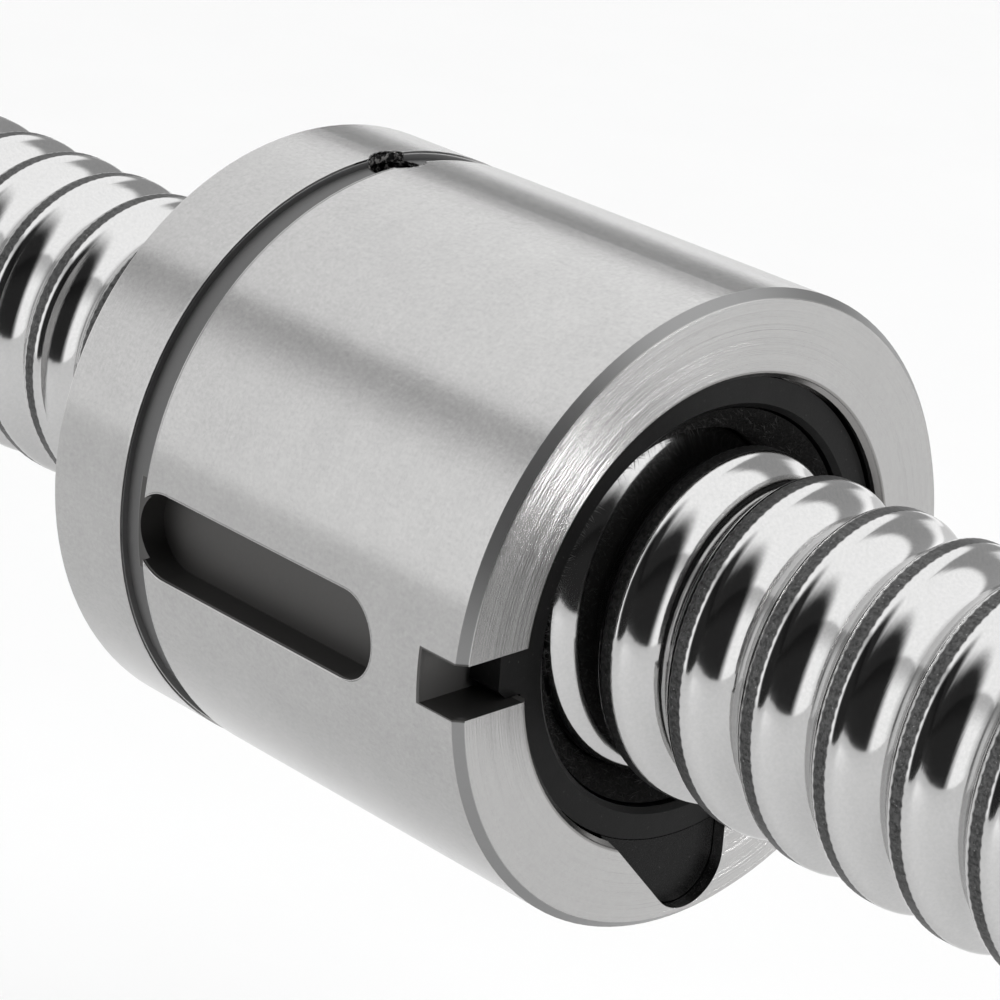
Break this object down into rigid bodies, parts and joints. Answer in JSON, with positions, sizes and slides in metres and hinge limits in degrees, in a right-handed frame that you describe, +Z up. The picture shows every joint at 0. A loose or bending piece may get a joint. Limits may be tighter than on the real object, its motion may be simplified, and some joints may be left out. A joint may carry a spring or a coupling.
{
  "type": "ball screw nut",
  "caption": "Cylindrical ball screw nut with a keyway, oil groove, end seals and internal ball return, carried on its ground screw.",
  "frame": {"origin": "on the screw's axis, half way along the nut", "axes": "+X along the screw towards the nut's front end with the chamfer, +Z up through the oil hole, the keyway on the -Y side and the ball return bore on the -Z side"},
  "size_m": [0.118, 0.036, 0.036],
  "materials": {
    "ground_steel": "satin",
    "polished_steel": "polished",
    "black_plastic": "matte",
    "felt": "matte"
  },
  "bodies": {
    "nut": {"nut_body": "ground_steel", "front_seal_ring": "black_plastic", "rear_seal_ring": "black_plastic", "front_deflector": "black_plastic", "rear_deflector": "black_plastic", "loaded_balls_turn_1": "polished_steel", "loaded_balls_turn_2": "polished_steel", "loaded_balls_turn_3": "polished_steel", "front_deflector_balls": "polished_steel", "rear_deflector_balls": "polished_steel", "return_bore_balls": "polished_steel"},
    "wipers": {"front_wiper": "felt", "rear_wiper": "felt"},
    "screw": {"screw_shaft": "polished_steel"}
  },
  "joints": [
    {"name": "screw_spin", "type": "hinge", "parent": "nut", "child": "wipers", "pos_m": [0, 0, 0], "axis": [1, 0, 0], "range_deg": [-1800, 1800]},
    {"name": "screw_travel", "type": "slide", "parent": "wipers", "child": "screw", "axis": [1, 0, 0], "range_m": [-0.025, 0.025]}
  ],
  "couplings": [
    {"joint": "screw_spin", "follows": "screw_travel", "rad_per_m": 1256.6}
  ]
}
